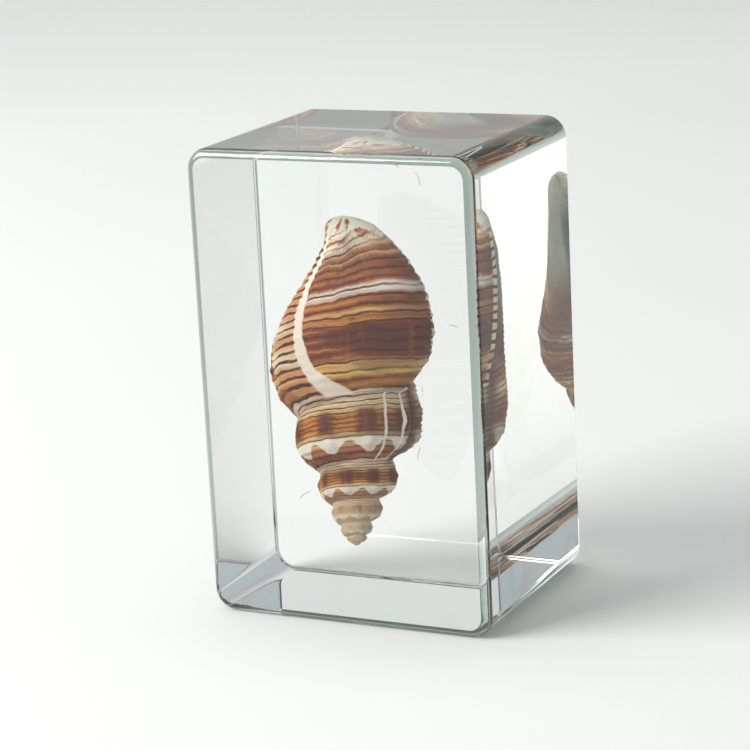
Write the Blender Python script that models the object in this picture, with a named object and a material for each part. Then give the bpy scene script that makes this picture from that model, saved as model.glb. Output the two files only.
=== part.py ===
"""Clear resin paperweight with a sea shell sealed in it, in metres with +Z up.

The block stands on its small end. Its origin is the middle of the base, its wide front looks
along -Y and its narrow sides look along X. The resin is parted in two by the level of the
first pour, a plane parallel to the front, and each half keeps its share of the shell's pocket.
The shell is a right-handed spiral that hangs apex down, leaning with its apex to the front.
"""

import math

import bmesh
import bpy
import numpy as np
from mathutils import Matrix, Vector

MM = 0.001
COLLECTION_NAME = "shell_resin_paperweight"
CUTTER_COLLECTION_NAME = "cutters"

# Block
BLOCK_WIDTH = 38.5 * MM
BLOCK_DEPTH = 30.5 * MM
BLOCK_HEIGHT = 60.0 * MM
CORNER_RADIUS = 2.8 * MM
RIM_RADIUS = 1.8 * MM
CORNER_SEGMENTS = 6
RIM_SEGMENTS = 4
POUR_LEVEL_Y = -2.4 * MM
POUR_GAP = 0.3 * MM
POCKET_CLEARANCE = 0.35 * MM

# Where the shell hangs: a point of its axis, the side its back faces, and its leans
AXIS_POINT = Vector((-1.79, -2.4, 30.0)) * MM
BACK_FACES = math.radians(16.6)
AXIS_LEAN = math.radians(16.5)
AXIS_SIDE_LEAN = math.radians(1.1)

# Heights along the shell's axis from AXIS_POINT, in millimetres
APEX = -21.7
CANAL_END = 20.8

# Growth of the spiral: whorl heights by turn, and how far the suture strays from a true spiral
WHORL_RATIO = 1.727
LAST_SUTURE_RISE = 19.67
APEX_RISE = 1.0
SUTURE_SWAY = 0.067
SUTURE_RADIUS = 7.3
CONE_POWER = 0.8

# One whorl of the spire from its suture to the next, as shares of its height and its growth
WHORL_STATIONS = (0.0, 0.1, 0.2, 0.3, 0.45, 0.65, 0.85, 1.0)
WHORL_GROWTH = (0.0, 0.38, 0.74, 0.97, 1.15, 1.24, 1.14, 1.0)

# The last whorl as outlines from the suture to the canal, each at its growth angle
OUTLINE_STATIONS = (0.0, 0.08, 0.2, 0.33, 0.46, 0.6, 0.72, 0.84, 0.94, 1.0)
OUTLINE_ANGLES = (-300.0, -240.0, -160.0, -90.0, 0.0, 63.0)
OUTLINES = (
    (5.2, 7.9, 8.6, 7.3, 7.0, 6.0, 5.0, 4.0, 2.6, 1.6),
    (5.7, 8.5, 9.0, 7.9, 7.2, 6.4, 5.5, 4.4, 2.6, 1.5),
    (8.0, 9.8, 11.6, 11.2, 8.2, 5.8, 4.6, 3.2, 2.4, 1.9),
    (7.4, 9.7, 10.6, 10.2, 8.6, 6.0, 3.7, 2.6, 2.8, 2.6),
    (7.7, 9.6, 10.8, 10.9, 10.1, 8.4, 6.3, 4.3, 3.0, 2.2),
    (8.2, 9.8, 12.0, 12.5, 12.1, 11.0, 9.3, 6.9, 4.4, 2.2),
)
CANAL_TIP_ROUNDING = 1.4
APEX_ROUNDING = 1.2

# The lip, where the last whorl ends in a steep step down to the older shell
LIP_ANGLE = 63.0
LIP_STEP_ANGLE = 10.0

# Old lips that cross the whorls as ridges, by growth angle and height, and the last lip
VARICES = ((51.0, 0.9), (-55.0, 0.8), (-250.0, 0.9), (-440.0, 0.6), (-630.0, 0.4))
VARIX_RISE_WIDTH = 20.0
VARIX_FALL_WIDTH = 10.0
VARIX_END_LENGTH = 9.0

# Knobs along the middle of each whorl, and their fading on the last one
KNOBS_PER_WHORL = 12
KNOB_SHARE = 0.055
KNOB_SHARE_LAST_WHORL = 0.02
KNOB_TOP_LAST_WHORL = 6.0

# The aperture behind the lip
APERTURE_ANGLE = 92.0
APERTURE_HALF_ANGLE = 26.0
APERTURE_FOOT = 0.5
APERTURE_TOP = 13.0
APERTURE_END_LENGTH = 4.0
APERTURE_DEPTH = 2.6

# Lattice of the shell, whose rows follow the suture, and rings of its pocket
SHELL_COLUMNS = 54
ROWS_PER_WHORL = 7
SPIRE_ROWS = 39
LAST_WHORL_ROWS = 22
POCKET_SIDES = 28
POCKET_RINGS = 20

RESIN_COLOUR = (0.86, 0.90, 0.88)
RESIN_ROUGHNESS = 0.03
RESIN_TRANSMISSION = 1.0
RESIN_IOR = 1.54
SHELL_COLOUR = (0.50, 0.27, 0.13)
SHELL_ROUGHNESS = 0.45
SHELL_SHARP_ANGLE = 60.0
WELD_DISTANCE = 0.01 * MM


def clear_scene():
    for thing in list(bpy.data.objects):
        bpy.data.objects.remove(thing, do_unlink=True)


def new_collection(name):
    collection = bpy.data.collections.new(name)
    bpy.context.scene.collection.children.link(collection)
    return collection


def principled(name, colour, roughness, transmission=0.0, ior=1.5):
    material = bpy.data.materials.new(name)
    material.use_nodes = True
    shader = material.node_tree.nodes["Principled BSDF"]
    shader.inputs["Base Color"].default_value = (*colour, 1.0)
    shader.inputs["Roughness"].default_value = roughness
    shader.inputs["Metallic"].default_value = 0.0
    shader.inputs["Transmission Weight"].default_value = transmission
    shader.inputs["IOR"].default_value = ior
    return material


def add_object(name, mesh, collection, material=None):
    thing = bpy.data.objects.new(name, mesh)
    collection.objects.link(thing)
    if material:
        mesh.materials.append(material)
    return thing


def smooth_step(x):
    x = np.clip(x, 0.0, 1.0)
    return x * x * (3.0 - 2.0 * x)


def rounded_end(distance, reach):
    """From nothing at the very end to the full radius, as a quarter of an ellipse."""
    share = np.clip(distance / reach, 0.0, 1.0)
    return np.sqrt(share * (2.0 - share))


def suture_turn(growth_angle):
    """How many turns the suture has made at a growth angle, from the shell's back."""
    return growth_angle / 360.0 - SUTURE_SWAY * np.sin(np.radians(growth_angle))


def height_at(turn):
    return APEX - APEX_RISE + LAST_SUTURE_RISE * WHORL_RATIO**turn


def turn_at(height):
    rise = np.maximum(height - APEX, 0.0) + APEX_RISE
    return np.log(rise / LAST_SUTURE_RISE) / math.log(WHORL_RATIO)


def suture_radius(turn):
    return SUTURE_RADIUS * WHORL_RATIO ** (CONE_POWER * turn)


def spire_radius(turn, across):
    """A whorl of the spire, by its share across the whorl from one suture to the next."""
    before = suture_radius(turn - across)
    after = suture_radius(turn - across + 1.0)
    return before + (after - before) * np.interp(across, WHORL_STATIONS, WHORL_GROWTH)


def outline_radius(growth_angle, height):
    """The last whorl, lofted between its outlines."""
    start = height_at(suture_turn(growth_angle))
    share = np.clip((height - start) / (CANAL_END - start), 0.0, 1.0)
    radii = np.array([np.interp(share, OUTLINE_STATIONS, outline) for outline in OUTLINES])
    place = np.interp(growth_angle, OUTLINE_ANGLES, range(len(OUTLINE_ANGLES)))
    lower = np.clip(np.floor(place), 0, len(OUTLINE_ANGLES) - 2).astype(int)
    blend = smooth_step(place - lower)
    index = np.arange(radii.shape[1])
    return radii[lower, index] * (1.0 - blend) + radii[lower + 1, index] * blend


def last_whorl_radius(growth_angle, height):
    """The last whorl with the step behind its lip, where it meets the older shell."""
    older = outline_radius(growth_angle - 360.0, height)
    step = smooth_step((growth_angle - LIP_ANGLE) / LIP_STEP_ANGLE)
    return outline_radius(growth_angle, height) * (1.0 - step) + older * step


def varix_height(growth_angle):
    """The ridges of old lips, longer on the older side, and the last lip's own ridge."""
    ridge = np.zeros_like(growth_angle)
    for angle, height in VARICES:
        away = growth_angle - angle
        width = np.where(away < 0.0, VARIX_RISE_WIDTH, VARIX_FALL_WIDTH)
        ridge = ridge + height * np.exp(-((away / width) ** 2))
    return ridge


def aperture_depth(around, height):
    """The opening behind the lip, a long hollow that runs out in the canal."""
    side = smooth_step(1.6 * (1.0 - np.abs(around - APERTURE_ANGLE) / APERTURE_HALF_ANGLE))
    foot = smooth_step((height - APERTURE_FOOT) / APERTURE_END_LENGTH)
    top = smooth_step((APERTURE_TOP + APERTURE_END_LENGTH - height) / APERTURE_END_LENGTH)
    return APERTURE_DEPTH * side * foot * top


def shell_radius(around, height):
    """The radius in millimetres, by the angle in degrees from the back and by the height."""
    end_angle = LIP_ANGLE + LIP_STEP_ANGLE
    around = (around - end_angle) % -360.0 + end_angle
    turn = turn_at(height)
    past_suture = turn - suture_turn(around)
    last = past_suture >= -1e-6
    whorl = np.minimum(np.floor(past_suture + 1e-6), -1.0)
    across = np.clip(past_suture - whorl, 0.0, 1.0)
    growth_angle = np.where(last, around, around + 360.0 * whorl)
    radius = np.where(last, last_whorl_radius(around, height), spire_radius(turn, across))
    arch = np.sqrt(np.sin(np.pi * across))
    canal = smooth_step((CANAL_END - height) / VARIX_END_LENGTH)
    root = smooth_step(past_suture / 0.15)
    swell = np.where(last, canal * root, arch)
    step = np.where(last, 1.0 - smooth_step((around - LIP_ANGLE) / LIP_STEP_ANGLE), 1.0)
    radius = radius + varix_height(growth_angle) * swell * step
    fade = smooth_step((KNOB_TOP_LAST_WHORL - height) / KNOB_TOP_LAST_WHORL)
    share = np.where(last, KNOB_SHARE_LAST_WHORL * fade * root, KNOB_SHARE * arch)
    radius = radius * (1.0 + share * np.cos(np.radians(growth_angle) * KNOBS_PER_WHORL))
    beside = np.where(around < -180.0, around + 360.0, around)
    radius = radius - np.where(last, aperture_depth(beside, height), 0.0)
    ends = rounded_end(height - APEX, APEX_ROUNDING)
    return radius * ends * rounded_end(CANAL_END - height, CANAL_TIP_ROUNDING)


def shell_placement():
    """From the shell's own frame, back to -Y and apex down, to its place in the block."""
    turn = Matrix.Rotation(BACK_FACES, 4, "Z")
    lean = Matrix.Rotation(-AXIS_LEAN, 4, "X") @ Matrix.Rotation(AXIS_SIDE_LEAN, 4, "Y")
    return Matrix.Translation(AXIS_POINT) @ turn @ lean


def lattice_height(around, row):
    """Rows follow the suture up the spire, then spread along the last whorl to the canal."""
    start_angle = LIP_ANGLE + LIP_STEP_ANGLE - 360.0
    on_spire = height_at(suture_turn(around) + np.minimum(row, 0.0) / ROWS_PER_WHORL)
    start = height_at(suture_turn(around))
    first_start = height_at(suture_turn(start_angle))
    first_end = height_at(suture_turn(start_angle) + 1.0)
    older = height_at(suture_turn(start_angle) + np.clip(row / ROWS_PER_WHORL, 0.0, 1.0))
    share = np.clip((row - ROWS_PER_WHORL) / LAST_WHORL_ROWS, 0.0, 1.0)
    at_start = older + share * (CANAL_END - first_end)
    share_at_start = (at_start - first_start) / (CANAL_END - first_start)
    share_at_lip = np.clip(row / LAST_WHORL_ROWS, 0.0, 1.0)
    grown = (around - start_angle) / 360.0
    share = share_at_start * (1.0 - grown) + share_at_lip * grown
    on_last = start + share * (CANAL_END - start)
    return np.clip(np.where(row > 0.0, on_last, on_spire), APEX, CANAL_END)


def shell_mesh(name):
    """A flat grid wound once round the axis; its sides meet one whorl apart."""
    rows = SPIRE_ROWS + LAST_WHORL_ROWS + ROWS_PER_WHORL
    mesh = bpy.data.meshes.new(name)
    form = bmesh.new()
    bmesh.ops.create_grid(form, x_segments=SHELL_COLUMNS, y_segments=rows, size=0.5)
    points = np.array([vertex.co[:] for vertex in form.verts])
    around = LIP_ANGLE + LIP_STEP_ANGLE - 180.0 + 360.0 * points[:, 0]
    height = lattice_height(around, (points[:, 1] + 0.5) * rows - SPIRE_ROWS)
    radius = shell_radius(around, height)
    angle = np.radians(around)
    placed = np.column_stack((radius * np.sin(angle), -radius * np.cos(angle), height)) * MM
    for vertex, point in zip(form.verts, placed):
        vertex.co = point
    bmesh.ops.remove_doubles(form, verts=form.verts, dist=WELD_DISTANCE)
    bmesh.ops.dissolve_degenerate(form, edges=form.edges, dist=WELD_DISTANCE)
    bmesh.ops.holes_fill(form, edges=form.edges)
    bmesh.ops.triangulate(form, faces=form.faces)
    bmesh.ops.recalc_face_normals(form, faces=form.faces)
    form.to_mesh(mesh)
    form.free()
    return mesh


def shell(collection):
    material = principled("shell_calcite", SHELL_COLOUR, SHELL_ROUGHNESS)
    mesh = shell_mesh("shell")
    thing = add_object("shell", mesh, collection, material)
    thing.matrix_world = shell_placement()
    mesh.shade_smooth()
    mesh.set_sharp_from_angle(angle=math.radians(SHELL_SHARP_ANGLE))
    return thing


def pocket_radius(around, height):
    """The widest the shell gets near a place, and the clearance, so that the pocket clears it."""
    reach_around = 360.0 / POCKET_SIDES
    reach_height = (CANAL_END - APEX) / POCKET_RINGS + POCKET_CLEARANCE / MM
    widest = np.zeros_like(around)
    for step_around in np.linspace(-reach_around, reach_around, 9):
        for step_height in np.linspace(-reach_height, reach_height, 17):
            near_height = np.clip(height + step_height, APEX, CANAL_END)
            widest = np.maximum(widest, shell_radius(around + step_around, near_height))
    return widest + POCKET_CLEARANCE / MM


def pocket_cutter(collection):
    """A cylinder swollen round the shell, longer than it by the clearance at both ends."""
    mesh = bpy.data.meshes.new("pocket")
    form = bmesh.new()
    bottom = APEX - POCKET_CLEARANCE / MM
    top = CANAL_END + POCKET_CLEARANCE / MM
    bmesh.ops.create_cone(
        form,
        cap_ends=True,
        segments=POCKET_SIDES,
        radius1=1.0,
        radius2=1.0,
        depth=top - bottom,
        matrix=Matrix.Translation((0.0, 0.0, (bottom + top) / 2.0)),
    )
    for ring in range(1, POCKET_RINGS):
        level = Vector((0.0, 0.0, bottom + (top - bottom) * ring / POCKET_RINGS))
        whole = form.verts[:] + form.edges[:] + form.faces[:]
        bmesh.ops.bisect_plane(form, geom=whole, plane_co=level, plane_no=(0.0, 0.0, 1.0))
    points = np.array([vertex.co[:] for vertex in form.verts])
    around = np.degrees(np.arctan2(points[:, 0], -points[:, 1]))
    radius = pocket_radius(around, points[:, 2])
    for vertex, wide in zip(form.verts, radius):
        vertex.co = Vector((vertex.co.x * wide, vertex.co.y * wide, vertex.co.z)) * MM
    form.to_mesh(mesh)
    form.free()
    thing = add_object("pocket_cutter", mesh, collection)
    thing.matrix_world = shell_placement()
    return hide_cutter(thing)


def hide_cutter(thing):
    thing.hide_render = True
    thing.display_type = "WIRE"
    return thing


def box_mesh(name, size, centre):
    mesh = bpy.data.meshes.new(name)
    form = bmesh.new()
    placing = Matrix.Translation(centre) @ Matrix.Diagonal((*size, 1.0))
    bmesh.ops.create_cube(form, size=1.0, matrix=placing)
    form.to_mesh(mesh)
    form.free()
    return mesh


def edges_along_depth(form):
    return [edge for edge in form.edges if abs(edge.verts[0].co.y - edge.verts[1].co.y) > BLOCK_DEPTH / 2.0]


def rim_edges(form):
    return [
        edge
        for edge in form.edges
        if all(abs(abs(vertex.co.y) - BLOCK_DEPTH / 2.0) < 0.01 * MM for vertex in edge.verts)
        and any(abs(face.normal.y) > 0.9 for face in edge.link_faces)
    ]


def block_mesh(name):
    """The cast block: the four long corners rounded, then the rims of the front and the back."""
    centre = Vector((0.0, 0.0, BLOCK_HEIGHT / 2.0))
    mesh = box_mesh(name, (BLOCK_WIDTH, BLOCK_DEPTH, BLOCK_HEIGHT), centre)
    form = bmesh.new()
    form.from_mesh(mesh)
    bmesh.ops.bevel(
        form,
        geom=edges_along_depth(form),
        offset=CORNER_RADIUS,
        segments=CORNER_SEGMENTS,
        profile=0.5,
        affect="EDGES",
    )
    form.normal_update()
    bmesh.ops.bevel(
        form,
        geom=rim_edges(form),
        offset=RIM_RADIUS,
        segments=RIM_SEGMENTS,
        profile=0.5,
        affect="EDGES",
    )
    form.to_mesh(mesh)
    form.free()
    return mesh


def subtract(thing, cutter):
    cut = thing.modifiers.new(cutter.name, "BOOLEAN")
    cut.operation = "DIFFERENCE"
    cut.solver = "EXACT"
    cut.object = cutter


def pour_cutter(name, side, collection):
    """A box that takes away all resin on one side of the pour level, and half of the gap."""
    near = POUR_LEVEL_Y - side * POUR_GAP / 2.0
    far = side * BLOCK_DEPTH
    size = (2.0 * BLOCK_WIDTH, abs(far - near), 2.0 * BLOCK_HEIGHT)
    centre = Vector((0.0, (near + far) / 2.0, BLOCK_HEIGHT / 2.0))
    return hide_cutter(add_object(name, box_mesh(name, size, centre), collection))


def resin_half(name, cutters, collection, material):
    thing = add_object(name, block_mesh(name), collection, material)
    for cutter in cutters:
        subtract(thing, cutter)
    thing.data.shade_smooth()
    thing.data.set_sharp_from_angle(angle=math.radians(30.0))
    return thing


def main():
    clear_scene()
    parts = new_collection(COLLECTION_NAME)
    cutters = new_collection(CUTTER_COLLECTION_NAME)
    shell(parts)
    pocket = pocket_cutter(cutters)
    resin = principled(
        "clear_casting_resin", RESIN_COLOUR, RESIN_ROUGHNESS, RESIN_TRANSMISSION, RESIN_IOR
    )
    behind = pour_cutter("behind_pour_level", 1.0, cutters)
    before = pour_cutter("before_pour_level", -1.0, cutters)
    resin_half("resin_front", (behind, pocket), parts, resin)
    resin_half("resin_back", (before, pocket), parts, resin)


main()
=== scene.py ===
"""Clear cast resin paperweight with a sea shell sealed in it: the finished pieces and the stage."""

import math

import bmesh
import bpy
import numpy as np
from bpy.props import FloatProperty, FloatVectorProperty, IntProperty, PointerProperty, StringProperty
from bpy.types import Operator, Panel, PropertyGroup
from mathutils import Matrix, Vector


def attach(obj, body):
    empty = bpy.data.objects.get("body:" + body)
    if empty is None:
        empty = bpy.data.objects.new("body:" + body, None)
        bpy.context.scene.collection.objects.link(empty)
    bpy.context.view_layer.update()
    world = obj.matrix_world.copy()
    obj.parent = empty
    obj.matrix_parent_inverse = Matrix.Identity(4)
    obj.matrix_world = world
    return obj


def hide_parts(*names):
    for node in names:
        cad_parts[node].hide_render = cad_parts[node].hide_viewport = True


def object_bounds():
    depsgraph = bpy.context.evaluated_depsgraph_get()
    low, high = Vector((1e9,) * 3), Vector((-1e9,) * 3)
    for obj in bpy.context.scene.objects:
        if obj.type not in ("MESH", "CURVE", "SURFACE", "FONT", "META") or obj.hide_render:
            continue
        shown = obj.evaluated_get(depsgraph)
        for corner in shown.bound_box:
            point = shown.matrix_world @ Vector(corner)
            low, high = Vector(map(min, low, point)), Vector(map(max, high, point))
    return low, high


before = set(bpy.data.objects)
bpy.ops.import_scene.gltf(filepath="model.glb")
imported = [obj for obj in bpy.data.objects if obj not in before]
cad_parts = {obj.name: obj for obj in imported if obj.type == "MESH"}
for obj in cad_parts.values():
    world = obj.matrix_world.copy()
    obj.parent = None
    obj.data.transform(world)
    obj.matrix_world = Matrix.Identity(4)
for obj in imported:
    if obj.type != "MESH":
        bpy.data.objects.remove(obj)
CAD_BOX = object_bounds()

bl_info = {
    "name": "Shell resin paperweight",
    "version": (1, 0, 0),
    "blender": (4, 5, 0),
    "location": "3D View > Sidebar > Paperweight",
    "description": "Casts a clear resin block round a spiral sea shell and sets it on a pale table",
    "category": "Object",
}

MM = 0.001

# Rows of the shell's lattice
ROWS_PER_WHORL = 32
SPIRE_ROWS = 176
LAST_WHORL_ROWS = 104

# Distance under which points of a mesh are one
WELD = 0.002 * MM

# Where the shell hangs: a point of its axis, the side its back faces, and its leans
AXIS_POINT = Vector((-1.79, -2.4, 30.0)) * MM
BACK_FACES = math.radians(16.6)
AXIS_LEAN = math.radians(16.5)
AXIS_SIDE_LEAN = math.radians(1.1)

# Heights along the shell's axis from AXIS_POINT, in millimetres
APEX = -21.7
CANAL_END = 20.8

# Growth of the spiral: whorl heights by turn, and how far the suture strays from a true spiral
WHORL_RATIO = 1.727
LAST_SUTURE_RISE = 19.67
APEX_RISE = 1.0
SUTURE_SWAY = 0.067
SUTURE_RADIUS = 7.3
CONE_POWER = 0.8

# One whorl of the spire from its suture to the next, as shares of its height and its growth
WHORL_STATIONS = (0.0, 0.1, 0.2, 0.3, 0.45, 0.65, 0.85, 1.0)
WHORL_GROWTH = (0.0, 0.38, 0.74, 0.97, 1.15, 1.24, 1.14, 1.0)

# The last whorl as outlines from the suture to the canal, each at its growth angle
OUTLINE_STATIONS = (0.0, 0.08, 0.2, 0.33, 0.46, 0.6, 0.72, 0.84, 0.94, 1.0)
OUTLINE_ANGLES = (-300.0, -240.0, -160.0, -90.0, 0.0, 63.0)
OUTLINES = (
    (5.2, 7.9, 8.6, 7.3, 7.0, 6.0, 5.0, 4.0, 2.6, 1.6),
    (5.7, 8.5, 9.0, 7.9, 7.2, 6.4, 5.5, 4.4, 2.6, 1.5),
    (8.0, 9.8, 11.6, 11.2, 8.2, 5.8, 4.6, 3.2, 2.4, 1.9),
    (7.4, 9.7, 10.6, 10.2, 8.6, 6.0, 3.7, 2.6, 2.8, 2.6),
    (7.7, 9.6, 10.8, 10.9, 10.1, 8.4, 6.3, 4.3, 3.0, 2.2),
    (8.2, 9.8, 12.0, 12.5, 12.1, 11.0, 9.3, 6.9, 4.4, 2.2),
)
CANAL_TIP_ROUNDING = 1.4
APEX_ROUNDING = 1.2

# The lip, where the last whorl ends in a steep step down to the older shell
LIP_ANGLE = 63.0
LIP_STEP_ANGLE = 10.0
START_ANGLE = LIP_ANGLE + LIP_STEP_ANGLE - 360.0

# Old lips that cross the whorls as ridges, by growth angle and height, and the last lip
VARICES = ((51.0, 0.9), (-55.0, 0.8), (-250.0, 0.9), (-440.0, 0.6), (-630.0, 0.4))
VARIX_RISE_WIDTH = 20.0
VARIX_FALL_WIDTH = 10.0
VARIX_END_LENGTH = 9.0

# Knobs: their height, the angle of one of them, the share of a knob that lies in the valley,
# and their rows as centre and half width across the whorl, and share of the height
KNOB_HEIGHT = 1.3
KNOB_ANGLE = -385.0
KNOB_VALLEY = 0.3
SPIRE_KNOB_ROWS = ((0.66, 0.15, 1.0), (0.34, 0.1, 0.6))
LAST_KNOB_ROWS = ((0.42, 0.2, 0.2),)

# Uneven growth: waves per turn, lean across the whorl in radians, and height
UNEVEN_GROWTH = ((61.0, 0.0, 0.03), (13.0, 22.1, 0.06), (23.0, 48.1, 0.05))

# Where relief fades: share of a whorl above the suture, and distance from the canal's end
ROOT_SHARE = 0.15
RELIEF_END_LENGTH = 5.0
VARIX_ROUGHNESS = 2.2
ROUGHEST_VARIX = 0.8

# The aperture behind the lip
APERTURE_ANGLE = 92.0
APERTURE_HALF_ANGLE = 26.0
APERTURE_FOOT = 0.5
APERTURE_TOP = 13.0
APERTURE_END_LENGTH = 4.0
APERTURE_DEPTH = 2.6


class BlockSettings(PropertyGroup):
    """Sizes of the cast block, with its outer size taken from the frame."""

    width: FloatProperty(
        name="Width",
        description="Across the wide front",
        default=CAD_BOX[1][0] - CAD_BOX[0][0],
        unit="LENGTH",
    )
    depth: FloatProperty(
        name="Depth",
        description="From the front to the back",
        default=CAD_BOX[1][1] - CAD_BOX[0][1],
        unit="LENGTH",
    )
    height: FloatProperty(
        name="Height",
        description="From the base to the top",
        default=CAD_BOX[1][2] - CAD_BOX[0][2],
        unit="LENGTH",
    )
    corner: FloatProperty(
        name="Corner radius",
        description="Rounding of the four corners seen from the front",
        default=2.8 * MM,
        unit="LENGTH",
    )
    front_rim: FloatProperty(
        name="Front rim radius",
        description="Rounding round the front, as the mould leaves it",
        default=1.1 * MM,
        unit="LENGTH",
    )
    back_rim: FloatProperty(
        name="Back rim radius",
        description="Rounding round the back, which is ground flat",
        default=0.3 * MM,
        unit="LENGTH",
    )
    tint: StringProperty(
        name="Tint",
        description="What thick resin lets through, as sRGB hex",
        default="EEF1F0",
    )


class ShellSettings(PropertyGroup):
    """Relief and colours of the shell."""

    cord_spacing: FloatProperty(
        name="Cord spacing",
        description="From one raised cord to the next at the back of the last whorl",
        default=1.12 * MM,
        unit="LENGTH",
    )
    cord_height: FloatProperty(
        name="Cord height",
        description="How far the raised cords stand out",
        default=0.07 * MM,
        unit="LENGTH",
    )
    knobs: FloatProperty(
        name="Knobs per whorl",
        description="Number of knobs round one whorl of the spire",
        default=8.39,
    )
    columns: IntProperty(
        name="Columns",
        description="Mesh columns round the shell",
        default=310,
    )
    cream: StringProperty(name="Cream", description="Ground colour", default="FFF3E6")


class StageSettings(PropertyGroup):
    """Table, lamps and camera."""

    camera_azimuth: FloatProperty(
        name="Camera azimuth",
        description="Turn of the camera round the block from straight in front",
        default=math.radians(26.183),
        subtype="ANGLE",
    )
    camera_elevation: FloatProperty(
        name="Camera elevation",
        description="Height of the camera over the horizon",
        default=math.radians(14.664),
        subtype="ANGLE",
    )
    camera_roll: FloatProperty(
        name="Camera roll",
        description="Lean of the camera about its own line of sight",
        default=math.radians(-2.937),
        subtype="ANGLE",
    )
    camera_distance: FloatProperty(
        name="Camera distance",
        description="From the point looked at",
        default=342.329 * MM,
        unit="LENGTH",
    )
    camera_target: FloatVectorProperty(
        name="Camera target",
        description="Point looked at",
        default=(-2.09 * MM, 0.0, 28.402 * MM),
        subtype="XYZ",
    )
    lens: FloatProperty(
        name="Lens",
        description="Focal length in millimetres on a 36 mm sensor",
        default=128.25,
    )


def linear(hex_colour):
    """An sRGB hex value as the linear colour that a socket takes."""
    channels = [int(hex_colour[i : i + 2], 16) / 255.0 for i in (0, 2, 4)]
    bent = [c / 12.92 if c <= 0.04045 else ((c + 0.055) / 1.055) ** 2.4 for c in channels]
    return (*bent, 1.0)


def add(tree, kind, settings=None, inputs=()):
    """Add one node, with its settings and its inputs, by name or in order; gives its result."""
    node = tree.nodes.new(kind)
    for name, value in (settings or {}).items():
        setattr(node, name, value)
    for name, value in inputs.items() if isinstance(inputs, dict) else enumerate(inputs):
        if isinstance(value, bpy.types.NodeSocket):
            tree.links.new(value, node.inputs[name])
        else:
            node.inputs[name].default_value = value
    return next(socket for socket in node.outputs if socket.enabled)


def new_material(name):
    material = bpy.data.materials.new(name)
    material.use_nodes = True
    tree = material.node_tree
    return material, tree, tree.nodes["Principled BSDF"]


def set_stops(ramp_node, stops):
    """Fill a colour ramp with (place, hex) stops."""
    ramp = ramp_node.color_ramp
    while len(ramp.elements) > 1:
        ramp.elements.remove(ramp.elements[-1])
    ramp.elements[0].position = stops[0][0]
    ramp.elements[0].color = linear(stops[0][1])
    for place, colour in stops[1:]:
        ramp.elements.new(place).color = linear(colour)


def deselect_all():
    if bpy.context.object and bpy.context.object.mode != "OBJECT":
        bpy.ops.object.mode_set(mode="OBJECT")
    bpy.ops.object.select_all(action="DESELECT")


def apply_place(thing):
    """Put the object's place into its mesh, as a finished piece has it."""
    deselect_all()
    thing.select_set(True)
    bpy.context.view_layer.objects.active = thing
    bpy.ops.object.transform_apply(location=True, rotation=True, scale=True)


def smooth_step(x):
    x = np.clip(x, 0.0, 1.0)
    return x * x * (3.0 - 2.0 * x)


def bump_at(x, centre, width):
    """A smooth bump of height 1, with its half width."""
    return np.exp(-(((x - centre) / width) ** 2))


def rounded_end(distance, reach):
    """From nothing at the very end to the full radius, as a quarter of an ellipse."""
    share = np.clip(distance / reach, 0.0, 1.0)
    return np.sqrt(share * (2.0 - share))


def suture_turn(growth_angle):
    """How many turns the suture has made at a growth angle, from the shell's back."""
    return growth_angle / 360.0 - SUTURE_SWAY * np.sin(np.radians(growth_angle))


def height_at(turn):
    return APEX - APEX_RISE + LAST_SUTURE_RISE * WHORL_RATIO**turn


def turn_at(height):
    rise = np.maximum(height - APEX, 0.0) + APEX_RISE
    return np.log(rise / LAST_SUTURE_RISE) / math.log(WHORL_RATIO)


def suture_radius(turn):
    return SUTURE_RADIUS * WHORL_RATIO ** (CONE_POWER * turn)


def spire_radius(turn, across):
    """A whorl of the spire, by its share across the whorl from one suture to the next."""
    before = suture_radius(turn - across)
    after = suture_radius(turn - across + 1.0)
    return before + (after - before) * np.interp(across, WHORL_STATIONS, WHORL_GROWTH)


def outline_radius(growth_angle, height):
    """The last whorl, lofted between its outlines."""
    start = height_at(suture_turn(growth_angle))
    share = np.clip((height - start) / (CANAL_END - start), 0.0, 1.0)
    radii = np.array([np.interp(share, OUTLINE_STATIONS, outline) for outline in OUTLINES])
    place = np.interp(growth_angle, OUTLINE_ANGLES, range(len(OUTLINE_ANGLES)))
    lower = np.clip(np.floor(place), 0, len(OUTLINE_ANGLES) - 2).astype(int)
    blend = smooth_step(place - lower)
    index = np.arange(radii.shape[1])
    return radii[lower, index] * (1.0 - blend) + radii[lower + 1, index] * blend


def lip_step(around):
    """Nothing up to the lip, and 1 where its step has come down to the older shell."""
    return smooth_step((around - LIP_ANGLE) / LIP_STEP_ANGLE)


def last_whorl_radius(growth_angle, height):
    """The last whorl with the step behind its lip, where it meets the older shell."""
    older = outline_radius(growth_angle - 360.0, height)
    step = lip_step(growth_angle)
    return outline_radius(growth_angle, height) * (1.0 - step) + older * step


def varix_height(growth_angle):
    """The ridges of old lips, longer on the older side, and the last lip's own ridge."""
    ridge = np.zeros_like(growth_angle)
    for angle, height in VARICES:
        away = growth_angle - angle
        width = np.where(away < 0.0, VARIX_RISE_WIDTH, VARIX_FALL_WIDTH)
        ridge = ridge + height * np.exp(-((away / width) ** 2))
    return ridge


def aperture_share(around, height):
    """The opening behind the lip, a long hollow that runs out in the canal, from 0 to 1."""
    beside = np.where(around < -180.0, around + 360.0, around)
    side = smooth_step(1.6 * (1.0 - np.abs(beside - APERTURE_ANGLE) / APERTURE_HALF_ANGLE))
    foot = smooth_step((height - APERTURE_FOOT) / APERTURE_END_LENGTH)
    top = smooth_step((APERTURE_TOP + APERTURE_END_LENGTH - height) / APERTURE_END_LENGTH)
    return side * foot * top


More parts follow.
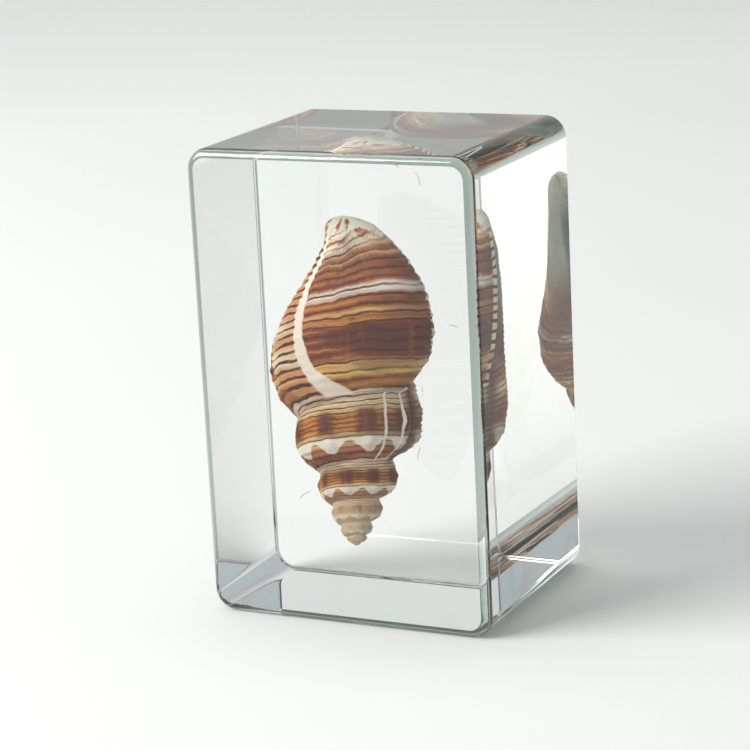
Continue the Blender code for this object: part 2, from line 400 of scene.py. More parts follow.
def cord_count(past_suture, settings):
    """Number of cords from the suture, evenly spaced at the back of the last whorl."""
    reach = LAST_SUTURE_RISE * (WHORL_RATIO**past_suture - 1.0)
    return reach * MM / settings.cord_spacing


def knob_rows(across, rows):
    """How much of a knob's height each share across the whorl has."""
    return sum(share * bump_at(across, centre, width) for centre, width, share in rows)


def shell_radius(around, height, last, across, growth_angle, settings):
    """The radius in millimetres of the sculpted surface."""
    turn = turn_at(height)
    past_suture = turn - suture_turn(around)
    radius = np.where(last, last_whorl_radius(around, height), spire_radius(turn, across))
    arch = np.sqrt(np.sin(np.pi * np.clip(across, 0.0, 1.0)))
    root = smooth_step(past_suture / ROOT_SHARE)
    canal = smooth_step((CANAL_END - height) / VARIX_END_LENGTH)
    step = np.where(last, 1.0 - lip_step(around), 1.0)
    ridges = varix_height(growth_angle) * step
    radius = radius + ridges * np.where(last, canal * root, arch)
    scale = WHORL_RATIO ** np.minimum(growth_angle / 360.0, 0.0)
    wave = np.cos(np.radians(growth_angle - KNOB_ANGLE) * settings.knobs)
    pointed = np.maximum(wave, 0.0) ** 2 - KNOB_VALLEY
    rows = np.where(last, knob_rows(across, LAST_KNOB_ROWS), knob_rows(across, SPIRE_KNOB_ROWS))
    radius = radius + KNOB_HEIGHT * scale * pointed * rows
    tip = smooth_step((CANAL_END - height) / RELIEF_END_LENGTH)
    flat = 1.0 - np.where(last, aperture_share(around, height), 0.0)
    rough = 1.0 + VARIX_ROUGHNESS * np.minimum(varix_height(growth_angle), ROUGHEST_VARIX) * step
    cords = np.cos(2.0 * np.pi * cord_count(across, settings))
    relief = settings.cord_height / MM * cords * rough
    for waves, lean, size in UNEVEN_GROWTH:
        relief = relief + size * np.sin(waves * np.radians(growth_angle) + lean * across)
    radius = radius + relief * scale * flat * tip * np.where(last, root, arch)
    radius = radius - APERTURE_DEPTH * np.where(last, 1.0 - flat, 0.0)
    ends = rounded_end(height - APEX, APEX_ROUNDING)
    return radius * ends * rounded_end(CANAL_END - height, CANAL_TIP_ROUNDING)


def lattice_height(around, row):
    """Rows follow the suture up the spire, then spread along the last whorl to the canal."""
    on_spire = height_at(suture_turn(around) + np.minimum(row, 0.0) / ROWS_PER_WHORL)
    start = height_at(suture_turn(around))
    first_turn = suture_turn(START_ANGLE)
    first_start = height_at(first_turn)
    first_end = height_at(first_turn + 1.0)
    older = height_at(first_turn + np.clip(row / ROWS_PER_WHORL, 0.0, 1.0))
    share = np.clip((row - ROWS_PER_WHORL) / LAST_WHORL_ROWS, 0.0, 1.0)
    at_start = older + share * (CANAL_END - first_end)
    share_at_start = (at_start - first_start) / (CANAL_END - first_start)
    share_at_lip = np.clip(row / LAST_WHORL_ROWS, 0.0, 1.0)
    grown = (around - START_ANGLE) / 360.0
    share = share_at_start * (1.0 - grown) + share_at_lip * grown
    on_last = start + share * (CANAL_END - start)
    return np.clip(np.where(row > 0.0, on_last, on_spire), APEX, CANAL_END)


def spiral_place(around, row, base_row):
    """Height, whether on the last whorl, share across the whorl and growth angle of a place."""
    height = lattice_height(around, row)
    last = base_row >= 0.0
    whorl = np.floor(np.minimum(base_row, -0.5) / ROWS_PER_WHORL)
    past_suture = turn_at(height) - suture_turn(around)
    across = np.where(last, np.maximum(past_suture, 0.0), row / ROWS_PER_WHORL - whorl)
    growth_angle = np.where(last, around, around + 360.0 * whorl)
    return height, last, across, growth_angle


def shell_placement():
    """From the shell's own frame, back to -Y and apex down, to its place in the block."""
    turn = Matrix.Rotation(BACK_FACES, 4, "Z")
    lean = Matrix.Rotation(-AXIS_LEAN, 4, "X") @ Matrix.Rotation(AXIS_SIDE_LEAN, 4, "Y")
    return Matrix.Translation(AXIS_POINT) @ turn @ lean


def wind_shell(thing, settings):
    """Wind a flat grid once round the axis, and keep each corner's place on the spiral."""
    rows = SPIRE_ROWS + LAST_WHORL_ROWS + ROWS_PER_WHORL
    mesh = thing.data
    points = np.empty(len(mesh.vertices) * 3)
    mesh.vertices.foreach_get("co", points)
    points = points.reshape(-1, 3)
    around = START_ANGLE + 360.0 * (points[:, 0] + 0.5)
    row = (points[:, 1] + 0.5) * rows - SPIRE_ROWS
    row = np.where(np.abs(row - np.rint(row)) < 0.01, np.rint(row), row)
    corner_vertex = np.empty(len(mesh.loops), dtype=int)
    mesh.loops.foreach_get("vertex_index", corner_vertex)
    face_of_corner = np.repeat(np.arange(len(mesh.polygons)), 4)
    face_row = row[corner_vertex].reshape(-1, 4).min(axis=1)[face_of_corner]
    place = spiral_place(around[corner_vertex], row[corner_vertex], face_row)
    height, last, across, growth_angle = place
    mesh.uv_layers[0].name = "spiral"
    spiral = np.column_stack((growth_angle / 360.0, across))
    mesh.uv_layers["spiral"].data.foreach_set("uv", spiral.ravel())
    for name, values in colour_masks(around[corner_vertex], *place).items():
        mask = mesh.attributes.new(name, "FLOAT", "CORNER")
        mask.data.foreach_set("value", np.ascontiguousarray(values, dtype=np.float32))
    height, last, across, growth_angle = spiral_place(around, row, row)
    radius = shell_radius(around, height, last, across, growth_angle, settings)
    angle = np.radians(around)
    placed = np.column_stack((radius * np.sin(angle), -radius * np.cos(angle), height)) * MM
    mesh.vertices.foreach_set("co", placed.ravel())
    mesh.update()


# The pale edge of the old lip at the left: its angle and half width by share above the suture
EDGE_BAND_STATIONS = (0.0, 0.06, 0.15, 0.3, 0.6, 1.3)
EDGE_BAND_ANGLES = (-10.0, -16.0, -24.0, -33.0, -39.0, -46.0)
EDGE_BAND_WIDTHS = (17.0, 16.0, 11.0, 6.0, 4.5, 4.0)

# Markings by growth angle and half width: the barred ridge beside that edge, the barred lip,
# the dark old lip and the white lines of the whorl before the last
RIDGE_PAST_EDGE = (-19.0, 20.0)
BARRED_LIP = (LIP_ANGLE + 3.0, 10.0)
DARK_LIP = (-284.0, 13.0)
WHITE_LINES = ((-325.0, 1.8), (-304.0, 1.8))

# Where colours change over, as start and length: degrees of growth, share past the suture,
# degrees past the lip, degrees round to the wall, and millimetres along the axis
BODY_COLOURS = (-330.0, 150.0)
NEW_WHORL = (0.95, 0.1)
LIP_FACE_END = (LIP_ANGLE + 6.0, 3.0)
WALL_SIDE = (170.0, 40.0)
WALL_FOOT = (-0.5, 3.0)
CANAL_COLOUR = (4.0, 7.0)
TIP_COLOUR = (16.6, 2.6)
APEX_COLOUR = (13.5, 6.0)


def change_over(x, start, length):
    return smooth_step((x - start) / length)


def colour_masks(around, height, last, across, growth_angle):
    """Where the shell's markings lie, and where shade is painted on its far side and in its aperture,
    each from 0 to 1.
    """
    grown = change_over(growth_angle, *BODY_COLOURS)
    grown = np.maximum(grown, change_over(across, *NEW_WHORL) * last)
    edge = np.interp(across, EDGE_BAND_STATIONS, EDGE_BAND_ANGLES)
    edge_width = np.interp(across, EDGE_BAND_STATIONS, EDGE_BAND_WIDTHS)
    offset, ridge_width = RIDGE_PAST_EDGE
    ridge = np.where(last, bump_at(growth_angle, edge + offset, ridge_width), 0.0)
    ridge = np.maximum(ridge, bump_at(growth_angle, *BARRED_LIP))
    pale = np.where(last, bump_at(growth_angle, edge, edge_width), 0.0)
    for angle, width in WHITE_LINES:
        pale = np.maximum(pale, bump_at(growth_angle, angle, width))
    behind_lip = np.where(last, change_over(around, *LIP_FACE_END), 0.0)
    inside = np.where(last, aperture_share(around, height), 0.0)
    # The wall is the far, ventral side and the face behind the lip: its dim colour is partly the
    # shell's own hue and partly painted shade, and the aperture hollow inside it gets painted shade
    # too.
    far_side = np.where(last & (around < -180.0), change_over(-around, *WALL_SIDE), 0.0)
    wall = np.maximum(far_side * change_over(height, *WALL_FOOT), behind_lip)
    return {
        "grown": grown,
        "ridge": ridge * (1.0 - behind_lip),
        "pale": pale * (1.0 - behind_lip),
        "dark": bump_at(growth_angle, *DARK_LIP),
        "canal": np.where(last, change_over(height, *CANAL_COLOUR), 0.0),
        "inside": inside,
        "wall": np.maximum(wall, inside),
        "tip": change_over(height, *TIP_COLOUR),
        "apex": change_over(-height, *APEX_COLOUR),
    }


# Kinds of node and their settings, as add() takes them
MATH = "ShaderNodeMath"
RANGE = "ShaderNodeMapRange"
MIX = "ShaderNodeMix"
PLUS = {"operation": "ADD"}
MINUS = {"operation": "SUBTRACT"}
TIMES = {"operation": "MULTIPLY"}
TIMES_PLUS = {"operation": "MULTIPLY_ADD"}
SMOOTH = {"interpolation_type": "SMOOTHSTEP"}
OVER = {"data_type": "RGBA", "blend_type": "MIX"}
DARKEN = {"data_type": "RGBA", "blend_type": "MULTIPLY"}

# Unevenness of the colours: features per turn and per whorl height, detail and roughness
GRAINS = {
    "sway": (9.0, 2.0, 3.0, 0.6),
    "streaks": (46.0, 1.2, 4.0, 0.7),
    "mottle": (14.0, 9.0, 4.0, 0.65),
    "drawn": (5.0, 14.0, 3.0, 0.6),
    "patches": (3.2, 3.0, 2.0, 0.5),
    "pits": (240.0, 10.0, 3.0, 0.6),
}

# How far the bands sway, and the whorl heights that the last whorl's ramp covers
BAND_SWAY = 0.09
BODY_REACH = 1.75

# Brown counts as dark below this brightness, and streaks and mottling show only there
DARK_BROWN = 0.42

# Turns from the start of the count to one brown spot, and how unevenly the spots lie
SPOT_START = 8.97
SPOT_WANDER = 1.2

# The white teeth: how far they lag behind the spots, their length and their middle
TEETH_LAG = 2.6
TEETH_LENGTH = 0.1
TEETH_MIDDLE = 0.25

# Fine lines for each cord
FINE_LINES = 3.0


def banded_ground(tree, values):
    """The bands of colour before any line or spot, which follow the spiral and sway a little."""
    shift = add(tree, MATH, TIMES_PLUS, (values["sway"], BAND_SWAY, -0.5 * BAND_SWAY))
    wavy = add(tree, MATH, PLUS, (shift, values["across"]))
    share = add(tree, MATH, {"operation": "DIVIDE"}, (wavy, BODY_REACH))
    body = add(tree, "ShaderNodeValToRGB", inputs=(share,))
    set_stops(body.node, BODY_STOPS)
    spire = add(tree, "ShaderNodeValToRGB", inputs=(wavy,))
    set_stops(spire.node, SPIRE_STOPS)
    return wavy, add(tree, MIX, OVER, {0: values["grown"], 6: spire, 7: body})


def cord_lines(tree, wavy, mottle, settings):
    """How far each place is from a cord's groove, the groove, the crest and the fine lines."""
    reach = add(tree, MATH, MINUS, (add(tree, MATH, {"operation": "POWER"}, (WHORL_RATIO, wavy)), 1.0))
    cords = add(tree, MATH, TIMES, (reach, LAST_SUTURE_RISE * MM / settings.cord_spacing))
    uneven = add(tree, MATH, TIMES_PLUS, (cords, FINE_LINES, add(tree, MATH, TIMES, (mottle, 0.5))))
    away = []
    for count in (cords, uneven):
        share = add(tree, MATH, {"operation": "FRACT"}, (count,))
        middle = add(tree, MATH, MINUS, (share, 0.5))
        away.append(add(tree, MATH, {"operation": "ABSOLUTE"}, (middle,)))
    groove = add(tree, RANGE, SMOOTH, (away[0], 0.06, 0.2, 1.0, 0.0))
    crest = add(tree, RANGE, SMOOTH, (away[0], 0.3, 0.46))
    fine = add(tree, RANGE, SMOOTH, (away[1], 0.05, 0.22, 1.0, 0.0))
    return away[0], groove, crest, fine


def spire_marks(tree, wavy, values, settings):
    """The brown spots and the white teeth of the spire's whorls, one of each to a knob."""
    on_spire = add(tree, MATH, MINUS, (1.0, values["grown"]))
    turn = 2.0 * math.pi
    place = add(tree, MATH, TIMES_PLUS, (values["turns"], turn * settings.knobs, turn * SPOT_START))
    place = add(tree, MATH, TIMES_PLUS, (values["mottle"], SPOT_WANDER, place))
    wave = add(tree, MATH, {"operation": "COSINE"}, (place,))
    spot = add(tree, RANGE, SMOOTH, (wave, -0.5, 0.95))
    lower = add(tree, RANGE, SMOOTH, (wavy, 0.4, 0.56))
    upper = add(tree, RANGE, SMOOTH, (wavy, 0.88, 0.74))
    lagging = add(tree, MATH, PLUS, (place, TEETH_LAG))
    teeth = add(tree, MATH, {"operation": "COSINE"}, (lagging,))
    edge = add(tree, MATH, TIMES_PLUS, (teeth, TEETH_LENGTH, TEETH_MIDDLE))
    past_edge = add(tree, MATH, MINUS, (wavy, edge))
    tooth = add(tree, RANGE, SMOOTH, (past_edge, -0.015, 0.03))
    top = add(tree, RANGE, SMOOTH, (wavy, 0.43, 0.37))
    for factor in (lower, upper, on_spire, 0.88):
        spot = add(tree, MATH, TIMES, (spot, factor))
    for factor in (top, on_spire, 0.9):
        tooth = add(tree, MATH, TIMES, (tooth, factor))
    return spot, tooth


def shell_material(settings):
    """Sea shell, calcite grown in layers: satin, with brown spiral bands and fine dark lines, and
    painted shade on its far side and in its aperture.
    """
    material, tree, shader = new_material("banded_shell_calcite")
    spiral = add(tree, "ShaderNodeUVMap", {"uv_map": "spiral"})
    split = add(tree, "ShaderNodeSeparateXYZ", inputs=(spiral,)).node
    values = {"turns": split.outputs["X"], "across": split.outputs["Y"]}
    for name in ("grown", "ridge", "pale", "dark", "canal", "inside", "wall", "tip", "apex"):
        node = add(tree, "ShaderNodeAttribute", {"attribute_name": name}).node
        values[name] = node.outputs["Fac"]
    for name, (per_turn, per_whorl, detail, roughness) in GRAINS.items():
        place = add(tree, "ShaderNodeVectorMath", TIMES, (spiral, (per_turn, per_whorl, 1.0)))
        texture = {"Vector": place, "Scale": 1.0, "Detail": detail, "Roughness": roughness}
        values[name] = add(tree, "ShaderNodeTexNoise", {"noise_dimensions": "2D"}, texture)

    wavy, skin = banded_ground(tree, values)
    from_groove, groove, crest, fine = cord_lines(tree, wavy, values["mottle"], settings)
    spot, tooth = spire_marks(tree, wavy, values, settings)
    brightness = add(tree, "ShaderNodeRGBToBW", inputs=(skin,))
    browns = add(tree, MATH, {"operation": "LESS_THAN"}, (brightness, DARK_BROWN))

    shares = {
        "fine": (fine, add(tree, RANGE, SMOOTH, (values["drawn"], 0.42, 0.62, 0.0, 0.55))),
        "groove": (groove, add(tree, RANGE, SMOOTH, (values["drawn"], 0.3, 0.6, 0.45, 1.0))),
        "crest": (crest, add(tree, RANGE, SMOOTH, (values["patches"], 0.42, 0.62, 0.0, 0.6))),
        "streak": (browns, add(tree, RANGE, SMOOTH, (values["streaks"], 0.5, 0.8, 0.0, 0.25))),
        "mottle": (browns, add(tree, RANGE, SMOOTH, (values["mottle"], 0.5, 0.75, 0.0, 0.55))),
        "dark": (values["dark"], 0.85),
        "dash": (
            add(tree, RANGE, SMOOTH, (from_groove, 0.15, 0.22, 1.0, 0.0)),
            add(tree, RANGE, SMOOTH, (values["mottle"], 0.3, 0.45, 0.6, 1.0)),
        ),
        # Painted shade in the aperture hollow: 0.6 of the way to a dark violet-brown.
        "inside": (values["inside"], 0.6),
        "apex": (values["apex"], 0.7),
    }
    share = {name: add(tree, MATH, TIMES, pair) for name, pair in shares.items()}
    share["deeper"] = add(tree, RANGE, SMOOTH, (values["patches"], 0.5, 0.36, 0.0, 0.45))
    share["ridge"] = add(tree, RANGE, SMOOTH, (values["ridge"], 0.35, 0.6))
    share["pale"] = add(tree, RANGE, SMOOTH, (values["pale"], 0.35, 0.6, 0.0, 0.95))

    cream_or_tan = add(tree, RANGE, SMOOTH, (values["patches"], 0.4, 0.6))
    ridge = add(tree, MIX, OVER, {0: cream_or_tan, 6: linear("F3E3C4"), 7: linear("DDA872")})
    ridge = add(tree, MIX, OVER, {0: share["dash"], 6: ridge, 7: linear("6A2A10")})
    # The far, ventral wall: a dim pinkish brown, grey at the canal, partly the shell's own hue and
    # partly painted shade of the side turned from the lamps.
    pinkish = {0: values["patches"], 6: linear("A8745A"), 7: linear("7A4630")}
    ventral_hue_and_shade = add(tree, MIX, OVER, pinkish)
    ventral_hue_and_shade = add(tree, MIX, OVER, {0: values["canal"], 6: ventral_hue_and_shade, 7: linear("B9BDAE")})
    brown_or_grey = add(tree, RANGE, SMOOTH, (values["mottle"], 0.56, 0.62))
    tip = add(tree, MIX, OVER, {0: brown_or_grey, 6: linear("D9D6C6"), 7: linear("A85A20")})

    layers = (
        (OVER, share["fine"], linear("9A5220")),
        (OVER, share["groove"], linear("6E2E10")),
        (OVER, share["crest"], linear("E3AA62")),
        (DARKEN, share["deeper"], linear("7C3412")),
        (OVER, spot, linear("70280F")),
        (OVER, tooth, linear("FFF8EE")),
        (OVER, share["streak"], linear("D08A44")),
        (OVER, share["mottle"], linear("5E260E")),
        (OVER, share["dark"], linear("5A1F0C")),
        (OVER, share["ridge"], ridge),
        (OVER, share["pale"], linear(settings.cream)),
        # Painted shade: the dim ventral wall, then the aperture hollow painted darker still.
        (OVER, values["wall"], ventral_hue_and_shade),
        (OVER, share["inside"], linear("6E4A3C")),
        (OVER, values["tip"], tip),
        (OVER, share["apex"], linear("EBDCC0")),
    )
    for blend, amount, colour in layers:
        skin = add(tree, MIX, blend, {0: amount, 6: skin, 7: colour})
    soaked = add(tree, "ShaderNodeGamma", inputs=(skin, 1.25))
    tree.links.new(soaked, shader.inputs["Base Color"])
    gloss = add(tree, RANGE, SMOOTH, (values["mottle"], 0.3, 0.7, 0.36, 0.56))
    tree.links.new(gloss, shader.inputs["Roughness"])
    shader.inputs["Specular IOR Level"].default_value = 0.12
    relief = add(tree, MATH, TIMES_PLUS, (groove, -0.7, values["pits"]))
    lifted = {"Strength": 0.25, "Distance": 0.1 * MM, "Height": relief}
    tree.links.new(add(tree, "ShaderNodeBump", inputs=lifted), shader.inputs["Normal"])
    return material


# Bands of the last whorl, by share of 1.75 whorl heights from its suture
BODY_STOPS = (
    (0.0, "F3E8D6"),
    (0.018, "EFE0C4"),
    (0.032, "C88A44"),
    (0.1, "BC7A34"),
    (0.118, "EBCB86"),
    (0.195, "E6C078"),
    (0.208, "A85220"),
    (0.29, "8E4218"),
    (0.362, "A04C1E"),
    (0.375, "E2B268"),
    (0.395, "C07030"),
    (0.425, "EACB8C"),
    (0.445, "B4662A"),
    (0.495, "C98A4C"),
    (0.508, "F0EAE2"),
    (0.538, "E8DDD2"),
    (0.55, "A4603A"),
    (0.64, "B06E44"),
    (0.655, "EED3A0"),
    (0.672, "C47A36"),
    (0.69, "F2E2C2"),
    (0.735, "F6EEDC"),
    (0.748, "C8843E"),
    (0.768, "F6EEDC"),
    (0.9, "F4ECDC"),
)

# Bands of a whorl of the spire, from its suture to the next
SPIRE_STOPS = (
    (0.0, "F4E4D6"),
    (0.05, "EBCDB4"),
    (0.07, "C07C44"),
    (0.2, "B86E38"),
    (0.34, "E9CF98"),
    (0.46, "EED8A4"),
    (0.52, "DDA24A"),
    (0.62, "C97E2C"),
    (0.76, "D6963E"),
    (0.83, "ECD8AA"),
    (0.93, "F4E6C4"),
    (1.0, "F1DFC8"),
)


class MESH_OT_paperweight_shell(Operator):
    """Model the spiral shell with its cords, knobs, old lips and aperture"""

    bl_idname = "mesh.paperweight_shell"
    bl_label = "Sea shell"

    def execute(self, context):
        settings = context.scene.paperweight_shell
        rows = SPIRE_ROWS + LAST_WHORL_ROWS + ROWS_PER_WHORL
        deselect_all()
        bpy.ops.mesh.primitive_grid_add(
            x_subdivisions=settings.columns, y_subdivisions=rows, size=1.0, calc_uvs=True
        )
        thing = context.object
        thing.name = "sea_shell"
        wind_shell(thing, settings)
        bpy.ops.object.mode_set(mode="EDIT")
        bpy.ops.mesh.select_all(action="SELECT")
        bpy.ops.mesh.remove_doubles(threshold=WELD)
        bpy.ops.mesh.dissolve_degenerate(threshold=WELD)
        bpy.ops.mesh.select_mode(type="VERT")
        bpy.ops.mesh.select_all(action="DESELECT")
        bpy.ops.mesh.select_non_manifold()
        bpy.ops.mesh.fill_holes(sides=0)
        bpy.ops.mesh.select_all(action="SELECT")
        bpy.ops.mesh.normals_make_consistent(inside=False)
        bpy.ops.object.mode_set(mode="OBJECT")
        bpy.ops.object.shade_smooth()
        thing.matrix_world = shell_placement()
        apply_place(thing)
        thing.data.materials.append(shell_material(settings))
        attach(thing, "root")
        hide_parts("shell")
        return {"FINISHED"}


def resin_material(settings):
    """Clear casting resin, poured and polished: glassy, barely grey-green where it is thick."""
    material, tree, shader = new_material("clear_casting_resin")
    shader.inputs["Base Color"].default_value = (1.0, 1.0, 1.0, 1.0)
    shader.inputs["Roughness"].default_value = 0.0
    shader.inputs["Transmission Weight"].default_value = 1.0
    shader.inputs["IOR"].default_value = 1.54
    absorbing = {"Color": linear(settings.tint), "Density": 6.0}
    absorption = add(tree, "ShaderNodeVolumeAbsorption", inputs=absorbing)
    tree.links.new(absorption, tree.nodes["Material Output"].inputs["Volume"])
    return material


def select_where(mesh, kind, test):
    """Select, in edit mode, the edges or faces that pass a test."""
    bpy.ops.mesh.select_all(action="DESELECT")
    bpy.ops.mesh.select_mode(type=kind)
    form = bmesh.from_edit_mesh(mesh)
    for item in form.edges if kind == "EDGE" else form.faces:
        item.select_set(test(item))
    bmesh.update_edit_mesh(mesh)


def round_rims(radius, segments):
    """Carry the selected faces outward by insets whose steps trace a quarter of a circle."""
    for step in range(segments):
        start = math.radians(90.0 * step / segments)
        end = math.radians(90.0 * (step + 1) / segments)
        inward = radius * (math.cos(start) - math.cos(end))
        bpy.ops.mesh.inset(thickness=inward, depth=radius * (math.sin(end) - math.sin(start)))


class MESH_OT_paperweight_block(Operator):
    """Model the clear block, with its long corners and then its front and back rims rounded"""

    bl_idname = "mesh.paperweight_block"
    bl_label = "Resin block"

    def execute(self, context):
        settings = context.scene.paperweight_block
        centre = [(low + high) / 2.0 for low, high in zip(*CAD_BOX)]
        deselect_all()
        rims = settings.front_rim + settings.back_rim
        centre[1] += (settings.front_rim - settings.back_rim) / 2.0
        bpy.ops.mesh.primitive_cube_add(
            size=1.0,
            location=centre,
            scale=(settings.width, settings.depth - rims, settings.height),
        )
        thing = context.object
        thing.name = "resin_block"
        apply_place(thing)
        bpy.ops.object.mode_set(mode="EDIT")
        select_where(thing.data, "EDGE", lambda edge: edge.calc_length() < settings.depth)
        bpy.ops.mesh.bevel(offset=settings.corner, segments=16, profile=0.5, affect="EDGES")
        select_where(thing.data, "FACE", lambda face: face.normal.y < -0.9)
        round_rims(settings.front_rim, 12)
        select_where(thing.data, "FACE", lambda face: face.normal.y > 0.9)
        round_rims(settings.back_rim, 6)
        bpy.ops.object.mode_set(mode="OBJECT")
        largest = max(face.area for face in thing.data.polygons)
        for face in thing.data.polygons:
            face.use_smooth = face.area < 0.2 * largest
        thing.data.materials.append(resin_material(settings))
        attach(thing, "root")
        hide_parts("resin_front", "resin_back")
        return {"FINISHED"}


# Hairs caught in the casting: where each lies, its length and its turn seen from the front
HAIRS = (
    ((10.3, -8.0, 56.4), 1.6, 1.2),
    ((7.4, -8.0, 57.9), 0.9, 0.3),
    ((-7.3, -8.0, 15.2), 2.0, -0.7),
    ((8.8, -8.0, 21.9), 1.7, -1.4),
    ((14.2, -8.0, 38.4), 1.1, 0.1),
    ((9.6, -8.0, 30.2), 0.5, 1.5),
)


def hair_material():
    """Fine fibres caught in the casting: pale grey threads that catch a little light."""
    material, _, shader = new_material("trapped_fibre")
    shader.inputs["Base Color"].default_value = linear("8F9691")
    shader.inputs["Roughness"].default_value = 0.5
    return material


class MESH_OT_paperweight_hairs(Operator):
    """Model the fine hairs that the casting has caught in front of the shell"""

    bl_idname = "mesh.paperweight_hairs"
    bl_label = "Caught hairs"

    def execute(self, context):
        made = []
        for place, length, turn in HAIRS:
            deselect_all()
            bpy.ops.curve.primitive_bezier_curve_add(radius=0.5 * length * MM)
            hair = context.object
            hair.data.bevel_depth = 0.035 * MM
            hair.data.bevel_resolution = 1
            hair.data.resolution_u = 8
            hair.data.use_fill_caps = True
            hair.rotation_euler = (math.radians(90.0), turn, 0.0)
            hair.location = Vector(place) * MM
            bpy.ops.object.convert(target="MESH")
            made.append(context.object)
        deselect_all()
        for hair in made:
            hair.select_set(True)
        context.view_layer.objects.active = made[0]
        bpy.ops.object.join()
        hairs = context.object
        hairs.name = "caught_hairs"
        apply_place(hairs)
        bpy.ops.object.mode_set(mode="EDIT")
        bpy.ops.mesh.select_all(action="SELECT")
        bpy.ops.mesh.remove_doubles(threshold=WELD)
        bpy.ops.mesh.normals_make_consistent(inside=False)
        bpy.ops.object.mode_set(mode="OBJECT")
        hairs.data.materials.append(hair_material())
        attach(hairs, "root")
        return {"FINISHED"}


def stage_material(name, colour, roughness):
    """Matte painted board, with a faint unevenness that keeps it from looking flat."""
    material, tree, shader = new_material(name)
    place = add(tree, "ShaderNodeTexCoord").node.outputs["Object"]
    cloudy = add(tree, "ShaderNodeTexNoise", inputs={"Vector": place, "Scale": 3.0, "Detail": 2.0})
    ramp = add(tree, "ShaderNodeValToRGB", inputs=(cloudy,))
    set_stops(ramp.node, ((0.3, colour[0]), (0.7, colour[1])))
    tree.links.new(ramp, shader.inputs["Base Color"])
    shader.inputs["Roughness"].default_value = roughness
    shader.inputs["Specular IOR Level"].default_value = 0.2
    return material


def add_lamp(name, place, target, size, power, colour):
    deselect_all()
    bpy.ops.object.light_add(type="AREA", location=place)
    lamp = bpy.context.object
    lamp.name = name
    lamp.data.shape = "RECTANGLE"
    lamp.data.size, lamp.data.size_y = size
    lamp.data.energy = power
    lamp.data.color = colour
    lamp.rotation_euler = (Vector(target) - Vector(place)).to_track_quat("-Z", "Y").to_euler()
    return lamp


def add_camera(settings):
    """A camera on the photograph's line of sight, rolled as the photograph is."""
    turn, rise = settings.camera_azimuth, settings.camera_elevation
    back = Vector(
        (
            math.sin(turn) * math.cos(rise),
            -math.cos(turn) * math.cos(rise),
            math.sin(rise),
        )
    )
    right = Vector((0.0, 0.0, 1.0)).cross(back).normalized()
    rolled = Matrix.Rotation(settings.camera_roll, 3, back)
    right = rolled @ right
    up = back.cross(right)
    place = Vector(settings.camera_target) + back * settings.camera_distance
    deselect_all()
    bpy.ops.object.camera_add(location=place)
    camera = bpy.context.object
    camera.matrix_world = Matrix.Translation(place) @ Matrix((right, up, back)).transposed().to_4x4()
    camera.data.lens = settings.lens
    camera.data.sensor_width = 36.0
    camera.data.clip_start = 0.01
    camera.data.clip_end = 20.0
    bpy.context.scene.camera = camera


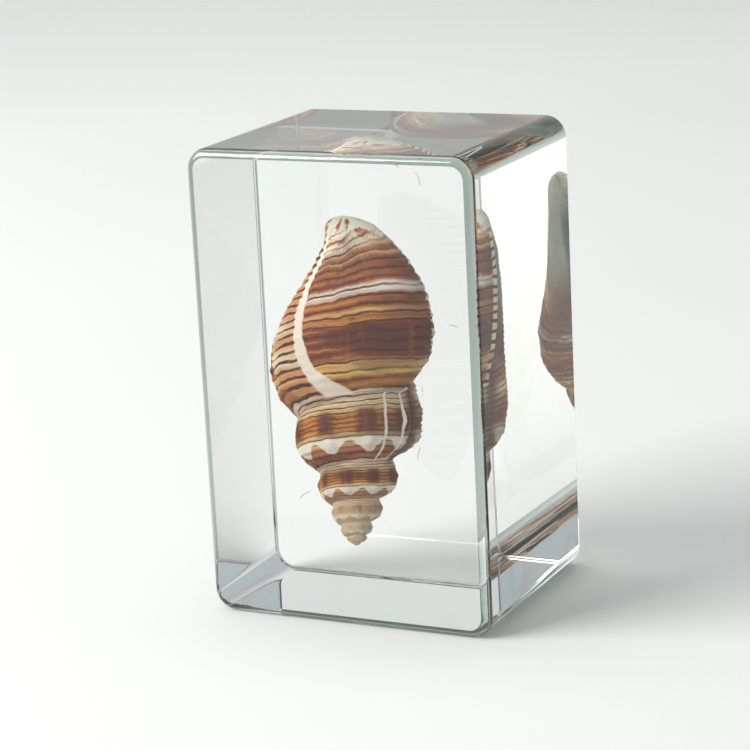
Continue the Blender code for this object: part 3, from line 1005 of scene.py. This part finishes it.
class MESH_OT_paperweight_stage(Operator):
    """Set the pale table and its curved backdrop, the soft lamps and the camera"""

    bl_idname = "mesh.paperweight_stage"
    bl_label = "Table, lamps and camera"

    def execute(self, context):
        settings = context.scene.paperweight_stage
        deselect_all()
        sweep = 2.6
        bpy.ops.mesh.primitive_plane_add(size=sweep, location=(0.0, 0.0, -0.05 * MM))
        backdrop = context.object
        backdrop.name = "backdrop"
        bpy.ops.object.mode_set(mode="EDIT")
        select_where(
            backdrop.data, "EDGE", lambda edge: all(v.co.y > 0.4 * sweep for v in edge.verts)
        )
        bpy.ops.mesh.extrude_region_move(TRANSFORM_OT_translate={"value": (0.0, 0.0, 1.4)})
        select_where(backdrop.data, "EDGE", lambda edge: len(edge.link_faces) == 2)
        bpy.ops.mesh.bevel(offset=0.6, segments=24, profile=0.5, affect="EDGES")
        bpy.ops.object.mode_set(mode="OBJECT")
        bpy.ops.object.shade_smooth()
        backdrop.rotation_euler.z = settings.camera_azimuth
        apply_place(backdrop)
        board = stage_material("painted_backdrop", ("D0D1CF", "D6D7D4"), 0.7)
        backdrop.data.materials.append(board)
        lit = (0.0, 0.0, 0.03)
        add_lamp("window", (-0.5, -0.45, 0.42), lit, (0.55, 0.45), 9.8, (1.0, 0.985, 0.96))
        add_lamp("wash", (-0.3, 0.2, 1.1), (-0.5, 1.1, 0.2), (1.0, 0.6), 7.0, (1.0, 1.0, 1.0))
        world = bpy.data.worlds.new("soft_room")
        world.use_nodes = True
        sky = world.node_tree.nodes["Background"]
        sky.inputs["Color"].default_value = linear("EAF3F6")
        sky.inputs["Strength"].default_value = 0.53
        context.scene.world = world
        context.scene.view_settings.view_transform = "Standard"
        add_camera(settings)
        return {"FINISHED"}


class VIEW3D_PT_paperweight(Panel):
    """Lists the pieces and the stage"""

    bl_label = "Paperweight"
    bl_idname = "VIEW3D_PT_paperweight"
    bl_space_type = "VIEW_3D"
    bl_region_type = "UI"
    bl_category = "Paperweight"

    def draw(self, context):
        groups = (
            (context.scene.paperweight_block, MESH_OT_paperweight_block),
            (context.scene.paperweight_shell, MESH_OT_paperweight_shell),
            (context.scene.paperweight_stage, MESH_OT_paperweight_stage),
        )
        for settings, operator in groups:
            column = self.layout.column(align=True)
            for name in settings.__annotations__:
                column.prop(settings, name)
            column.operator(operator.bl_idname)
        self.layout.operator(MESH_OT_paperweight_hairs.bl_idname)


CLASSES = (
    BlockSettings,
    ShellSettings,
    StageSettings,
    MESH_OT_paperweight_block,
    MESH_OT_paperweight_shell,
    MESH_OT_paperweight_hairs,
    MESH_OT_paperweight_stage,
    VIEW3D_PT_paperweight,
)


def register():
    for item in CLASSES:
        bpy.utils.register_class(item)
    bpy.types.Scene.paperweight_block = PointerProperty(type=BlockSettings)
    bpy.types.Scene.paperweight_shell = PointerProperty(type=ShellSettings)
    bpy.types.Scene.paperweight_stage = PointerProperty(type=StageSettings)


def unregister():
    del bpy.types.Scene.paperweight_stage
    del bpy.types.Scene.paperweight_shell
    del bpy.types.Scene.paperweight_block
    for item in reversed(CLASSES):
        bpy.utils.unregister_class(item)


def main():
    register()
    bpy.ops.mesh.paperweight_block()
    bpy.ops.mesh.paperweight_shell()
    bpy.ops.mesh.paperweight_hairs()
    bpy.ops.mesh.paperweight_stage()


if __name__ == "__main__":
    main()
